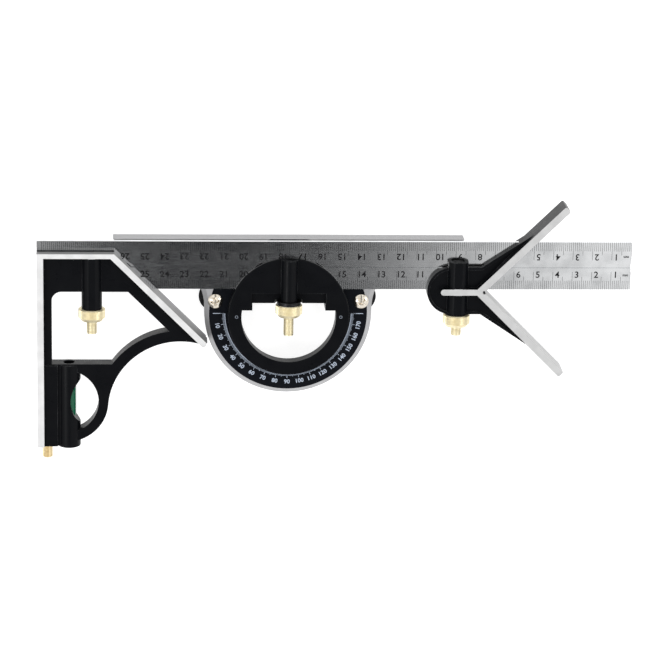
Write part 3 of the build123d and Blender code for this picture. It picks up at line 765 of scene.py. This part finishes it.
# %% A lathe
def turned(name, outline, sides=64):
    """The mesh of a closed outline of (radius, along) steps, spun round the Z axis."""
    mesh = bmesh.new()
    rings = []
    for radius, along in outline:
        if radius == 0:
            rings.append([mesh.verts.new((0, 0, along))])
        else:
            turns = [2 * math.pi * side / sides for side in range(sides)]
            rings.append([mesh.verts.new((radius * math.cos(t), radius * math.sin(t), along)) for t in turns])
    bored = len(rings[0]) > 1
    pairs = list(zip(rings, rings[1:])) + ([(rings[-1], rings[0])] if bored else [])
    for here, there in pairs:
        for side in range(sides):
            after = (side + 1) % sides
            corners = [here[side % len(here)], here[after % len(here)],
                       there[after % len(there)], there[side % len(there)]]
            mesh.faces.new(dict.fromkeys(corners))
    bmesh.ops.recalc_face_normals(mesh, faces=mesh.faces)
    data = bpy.data.meshes.new(name)
    mesh.to_mesh(data)
    mesh.free()
    for face in data.polygons:
        face.use_smooth = True
    data.set_sharp_from_angle(angle=math.radians(30))
    return data


# %% [markdown]
# ### Straight knurling
#
# The grip of each nut and of the scriber's head is cut with straight ridges. They
# could be a bump in the material, but their outline shows against a light ground,
# so they are real: a ring of slim diamond bars sunk into the turned body, made by
# one tree.

# %% The knurling tree
knurl_tree, given, result = new_tree("straight_knurl", {
    "Count": "Int", "Radius": "Float", "Ridge": "Float", "Length": "Float", "Along": "Float",
    "Material": "Material"})
circle = add(knurl_tree, "GeometryNodeMeshCircle", Vertices=given["Count"], Radius=given["Radius"])
size = add(knurl_tree, "ShaderNodeCombineXYZ", X=given["Ridge"], Y=given["Ridge"], Z=given["Length"])
stick = add(knurl_tree, "GeometryNodeMeshCube", Size=size.outputs[0])
diamond = add(knurl_tree, "GeometryNodeTransform", Geometry=stick.outputs[0], Rotation=(0, 0, math.pi / 4))
around = arithmetic(knurl_tree, "DIVIDE", 2 * math.pi, given["Count"])
index = add(knurl_tree, "GeometryNodeInputIndex").outputs[0]
facing = add(knurl_tree, "ShaderNodeCombineXYZ", Z=arithmetic(knurl_tree, "MULTIPLY", index, around))
ridges = add(knurl_tree, "GeometryNodeInstanceOnPoints", Points=circle.outputs[0],
             Instance=diamond.outputs[0], Rotation=facing.outputs[0])
lift = add(knurl_tree, "ShaderNodeCombineXYZ", Z=given["Along"])
raised = add(knurl_tree, "GeometryNodeTransform", Geometry=ridges.outputs[0], Translation=lift.outputs[0])
whole = add(knurl_tree, "GeometryNodeJoinGeometry")
knurl_tree.links.new(raised.outputs[0], whole.inputs[0])
knurl_tree.links.new(given["Geometry"], whole.inputs[0])
finish_tree(knurl_tree, whole.outputs[0], given, result)
print("knurling tree has", len(knurl_tree.nodes), "nodes")

RIDGE = 0.30 * MM
RIDGE_SUNK = 0.72             # how far a ridge's middle, and the body's face, lie inside the radius,
BODY_SUNK = 0.75              # both as shares of RIDGE


def knurled(name, outline, radius, first, last, ridges, finish, place, body, node):
    """A turned body with straight ridges between first and last, in place of a CAD node."""
    piece = run_tree(name, knurl_tree, {
        "Count": ridges, "Radius": radius - RIDGE * RIDGE_SUNK, "Ridge": RIDGE, "Length": last - first,
        "Along": (first + last) / 2, "Material": finish}, base=turned(name + "_body", outline))
    piece.data.transform(place)
    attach(piece, body)
    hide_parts(node)
    return piece


# %% [markdown]
# ### Clamp nuts
#
# The three clamp nuts are brass: a knurled grip that tapers to a smaller end, and
# a bore that the stud passes through. Their axis points down the rule's width, so
# the lathe's axis is turned from +Z to -Y. The scriber's head is made the same
# way, straight and without a bore.

# %% Clamp nuts and scriber head
DOWN = Matrix.Rotation(math.pi / 2, 4, "X")
BORE = 2.8 * MM
COUNTERSINK = 0.4 * MM
NUT_CHAMFER = 0.4 * MM
NUT_RIDGES = 84
SCRIBER_RIDGES = 34
GRIP_SHARE = 0.8
END_SHARE = 0.86


def nut_outline(radius, height, bore, chamfer, grip_share=1.0, end_share=1.0):
    """A grip over grip_share of the height, then a taper to end_share of the radius."""
    body = radius - RIDGE * BODY_SUNK
    grip_end = height * grip_share - chamfer
    end = body * end_share - chamfer
    return [(bore, 0), (body - chamfer, 0), (body, chamfer), (body, grip_end),
            (end, height), (bore + COUNTERSINK, height), (bore, height - COUNTERSINK)]


for clamp in ("square", "turret", "centre"):
    node = clamp + "_clamp_nut"
    low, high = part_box(node)
    centre, height, radius = middle(node), high.y - low.y, (high.x - low.x) / 2
    place = Matrix.Translation((centre.x, high.y, centre.z)) @ DOWN
    outline = nut_outline(radius, height, BORE, NUT_CHAMFER, GRIP_SHARE, END_SHARE)
    nut = knurled(clamp + "_nut_knurled", outline, radius, NUT_CHAMFER, height * GRIP_SHARE - NUT_CHAMFER,
                  NUT_RIDGES, brass, place, clamp + "_nut", node)
print("clamp nut faces:", len(nut.data.polygons))

low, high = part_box("scriber_head")
centre, height, radius = middle("scriber_head"), high.y - low.y, (high.x - low.x) / 2
grip = radius - RIDGE * BODY_SUNK
scriber_outline = [(0, 0), (grip - NUT_CHAMFER, 0), (grip, NUT_CHAMFER), (grip, height - NUT_CHAMFER),
                   (grip - NUT_CHAMFER, height), (0, height)]
knurled("scriber_head_knurled", scriber_outline, radius, NUT_CHAMFER, height - NUT_CHAMFER,
        SCRIBER_RIDGES, warm_brass,
        Matrix.Translation((centre.x, high.y, centre.z)) @ DOWN, "scriber", "scriber_head")

# %% [markdown]
# ### Lock nuts
#
# Behind the protractor plate two black nuts lock its angle. They are turned and
# knurled like the clamp nuts, with their axis square to the plate.

# %% Lock nuts
BACKWARDS = Matrix.Rotation(math.pi, 4, "X")
LOCK_CHAMFER = 0.6 * MM
LOCK_RIDGES = 60
for side in ("left", "right"):
    node = side + "_lock_nut"
    low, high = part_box(node)
    centre, height, radius = middle(node), high.z - low.z, (high.x - low.x) / 2
    place = Matrix.Translation((centre.x, centre.y, high.z)) @ BACKWARDS
    knurled(node + "_knurled", nut_outline(radius, height, BORE, LOCK_CHAMFER), radius, LOCK_CHAMFER,
            height - LOCK_CHAMFER, LOCK_RIDGES, black_steel, place, side + "_nut", node)
print("lock nut ridges:", LOCK_RIDGES, "radius:", round(radius / MM, 2), "mm")

# %% [markdown]
# ## Screw threads
#
# A thread is a groove that climbs round a rod. A stack of rings would look alike
# from afar but wrong close by, so this tree draws the helix: a spiral curve swept
# by a small diamond, laid on a brass rod that covers the end of the bolt.

# %% The thread tree
thread_tree, given, result = new_tree("screw_thread", {
    "Radius": "Float", "Pitch": "Float", "Length": "Float", "Depth": "Float", "Material": "Material"})
turns = arithmetic(thread_tree, "DIVIDE", given["Length"], given["Pitch"])
helix = add(thread_tree, "GeometryNodeCurveSpiral", Resolution=24, Rotations=turns,
            Start_Radius=given["Radius"], End_Radius=given["Radius"], Height=given["Length"])
tooth = add(thread_tree, "GeometryNodeCurvePrimitiveCircle", Resolution=4, Radius=given["Depth"])
ridge = add(thread_tree, "GeometryNodeCurveToMesh", Curve=helix.outputs[0], Profile_Curve=tooth.outputs[0],
            Fill_Caps=True)
whole = add(thread_tree, "GeometryNodeJoinGeometry")
thread_tree.links.new(ridge.outputs[0], whole.inputs[0])
thread_tree.links.new(given["Geometry"], whole.inputs[0])
finish_tree(thread_tree, whole.outputs[0], given, result)

PITCH = 0.8 * MM
STUD_RADIUS = 2.42 * MM
THREAD_DEPTH = 0.24 * MM
INTO_NUT = 1.6 * MM           # how far the brass rod runs up into its nut
END_COVER = 0.05 * MM         # brass over the bolt's dark end
for clamp in ("square", "turret", "centre"):
    bolt_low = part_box(clamp + "_clamp_bolt")[0]
    nut_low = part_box(clamp + "_clamp_nut")[0]
    centre = middle(clamp + "_clamp_nut")
    length = nut_low.y - bolt_low.y + INTO_NUT + END_COVER
    rod = turned(clamp + "_stud_rod", [(0, 0), (STUD_RADIUS, 0), (STUD_RADIUS, length), (0, length)], 48)
    thread = run_tree(clamp + "_stud_thread", thread_tree, {
        "Radius": STUD_RADIUS, "Pitch": PITCH, "Length": length - THREAD_DEPTH, "Depth": THREAD_DEPTH,
        "Material": brass}, base=rod)
    thread.data.transform(Matrix.Translation((centre.x, nut_low.y + INTO_NUT, centre.z)) @ DOWN)
    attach(thread, clamp + "_bolt")
print("thread faces:", len(thread.data.polygons))

# %% [markdown]
# ## Lock screws
#
# The two screws on the plate's front have domed nickel heads with a cross recess.
# A boolean could cut the cross, but on a dome it leaves ragged edges. Here the
# dome is a fine polar grid whose points sink where they fall inside the cross.


# %% Domed heads
SIDE_SLOPE = 0.3              # the share of the cross that its sloping walls take up
END_SLOPE = 0.35
CROSS_REACH = 0.62            # shares of the head's radius, and of its height
CROSS_HALF_WIDTH = 0.17
CROSS_DEPTH = 0.55


def cross_depth(x, y, reach, half_width, depth):
    """How far the cross recess sinks a point, with sloping walls."""
    along, aside = max(abs(x), abs(y)), min(abs(x), abs(y))
    inside = min(1.0, max(0.0, (half_width - aside) / (SIDE_SLOPE * half_width)))
    ends = min(1.0, max(0.0, (reach - along) / (END_SLOPE * reach)))
    return depth * inside * ends


RIM_SHARE = 0.35              # the upright rim's share of a screw head's height
SCREW_HEIGHT = 1.8 * MM
SHANK_RADIUS = 2.5 * MM
SCREW_TURNS = {"left": 12, "right": 38}     # where each cross came to rest, in degrees


def domed_screw(name, head_radius, head_height, shank_radius, shank_length, rings=26, sides=96):
    mesh = bmesh.new()
    reach, half_width = CROSS_REACH * head_radius, CROSS_HALF_WIDTH * head_radius
    depth = CROSS_DEPTH * head_height
    rows = []
    for step in range(1, rings + 1):
        out = head_radius * step / rings
        dome = 1 - (out / head_radius) ** 2
        rise = head_height * (RIM_SHARE + (1 - RIM_SHARE) * dome)
        row = []
        for side in range(sides):
            turn = 2 * math.pi * side / sides
            x, y = out * math.cos(turn), out * math.sin(turn)
            row.append(mesh.verts.new((x, y, rise - cross_depth(x, y, reach, half_width, depth))))
        rows.append(row)
    for radius, along in ((head_radius, 0.0), (shank_radius, 0.0), (shank_radius, -shank_length)):
        turns = [2 * math.pi * side / sides for side in range(sides)]
        rows.append([mesh.verts.new((radius * math.cos(t), radius * math.sin(t), along)) for t in turns])
    top = mesh.verts.new((0, 0, head_height - depth))
    end = mesh.verts.new((0, 0, -shank_length))
    for side in range(sides):
        after = (side + 1) % sides
        mesh.faces.new((top, rows[0][side], rows[0][after]))
        mesh.faces.new((end, rows[-1][after], rows[-1][side]))
        for here, there in zip(rows, rows[1:]):
            mesh.faces.new((here[side], there[side], there[after], here[after]))
    bmesh.ops.recalc_face_normals(mesh, faces=mesh.faces)
    data = bpy.data.meshes.new(name)
    mesh.to_mesh(data)
    mesh.free()
    for face in data.polygons:
        face.use_smooth = True
    data.set_sharp_from_angle(angle=math.radians(40))
    return data


for side in ("left", "right"):
    low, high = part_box(side + "_lock_screw")
    centre = middle(side + "_lock_screw")
    data = domed_screw(side + "_lock_screw_domed", (high.x - low.x) / 2, SCREW_HEIGHT, SHANK_RADIUS,
                       plate_high.z - low.z)
    turn = Matrix.Rotation(math.radians(SCREW_TURNS[side]), 4, "Z")
    data.transform(Matrix.Translation((centre.x, centre.y, plate_high.z)) @ turn)
    data.materials.append(nickel)
    screw = bpy.data.objects.new(side + "_lock_screw_domed", data)
    bpy.context.collection.objects.link(screw)
    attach(screw, "protractor")
    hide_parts(side + "_lock_screw")
print("screw faces:", len(data.polygons))

# %% [markdown]
# ## Floor, light and camera
#
# The tool lies on a pale sweep under broad, soft light. Bright steel is judged by
# what it mirrors, so the sky is pale at the sides with a darker strip overhead: the
# rule is bright at its free end, darkest between the protractor and the square
# head, and lighter again at its other end.


# %% Sweep and sky
FLOOR_GAP = 0.3 * MM
STRIP_RIGHT = (0.062, 0.160)   # the dark strip fades out between these, as the ray's X
STRIP_LEFT = (-0.004, -0.080)
STRIP_RISE = (0.55, 0.85)      # and fades in between these, as the ray's Z
PALE_SKY = (1.0, 1.0, 1.0)
DARK_SKY = (0.020, 0.021, 0.023)
SKY_STRENGTH = 0.98
floor_z = cad_bounds[0][2] - FLOOR_GAP
floor_mesh = bpy.data.meshes.new("sweep")
reach = 3.0
floor_mesh.from_pydata([(-reach, -reach, floor_z), (reach, -reach, floor_z), (reach, reach, floor_z),
                        (-reach, reach, floor_z)], [], [(0, 1, 2, 3)])
floor = bpy.data.objects.new("sweep", floor_mesh)
bpy.context.collection.objects.link(floor)
floor_paint = material("sweep_paint", (0.5, 0.5, 0.5), 0.0, 0.9,
                       Emission_Color=(1, 1, 1, 1), Emission_Strength=0.82)[0]
floor_mesh.materials.append(floor_paint)

world = bpy.data.worlds.new("soft_sky")
bpy.context.scene.world = world
world.use_nodes = True
sky = world.node_tree
ray = add(sky, "ShaderNodeSeparateXYZ", Vector=add(sky, "ShaderNodeTexCoord").outputs["Generated"])
right_side = spread(sky, ray.outputs["X"], *STRIP_RIGHT)
left_side = spread(sky, ray.outputs["X"], *STRIP_LEFT)
overhead = spread(sky, ray.outputs["Z"], *STRIP_RISE)
strip = arithmetic(sky, "SUBTRACT", 1.0, arithmetic(sky, "ADD", right_side, left_side, clamp=True))
darkness = arithmetic(sky, "MULTIPLY", strip, overhead)
background = sky.nodes["Background"]
sky.links.new(blend_colours(sky, darkness, PALE_SKY, DARK_SKY), background.inputs["Color"])
background.inputs["Strength"].default_value = SKY_STRENGTH
print("sky nodes:", len(sky.nodes), "floor at z =", round(floor_z / MM, 2), "mm")


def soft_light(name, place, aim, size, power):
    data = bpy.data.lights.new(name, "AREA")
    data.size = size
    data.energy = power
    made = bpy.data.objects.new(name, data)
    made.location = place
    made.rotation_euler = (Vector(aim) - Vector(place)).to_track_quat("-Z", "Y").to_euler()
    bpy.context.collection.objects.link(made)
    return made


object_middle = (0.15, -0.02, 0)
soft_light("left_softbox", (-0.75, -0.25, 1.15), object_middle, 0.35, 4.0)
soft_light("right_softbox", (1.0, 0.1, 0.9), object_middle, 0.4, 3.0)

# %% [markdown]
# ## The camera
#
# A long lens from above and a little behind the rule's upper edge: far enough away
# that the heads keep their true proportions.

# %% Camera and view transform
camera_data = bpy.data.cameras.new("camera")
camera_data.sensor_width = 36.0
camera_data.lens = 162.2
camera_data.clip_start = 0.05
camera = bpy.data.objects.new("camera", camera_data)
camera.location = (0.04171, 0.43652, 1.4600)
camera.rotation_euler = (math.radians(-17.53), math.radians(-3.87), math.radians(1.26))
bpy.context.collection.objects.link(camera)
bpy.context.scene.camera = camera
bpy.context.scene.view_settings.view_transform = "Standard"
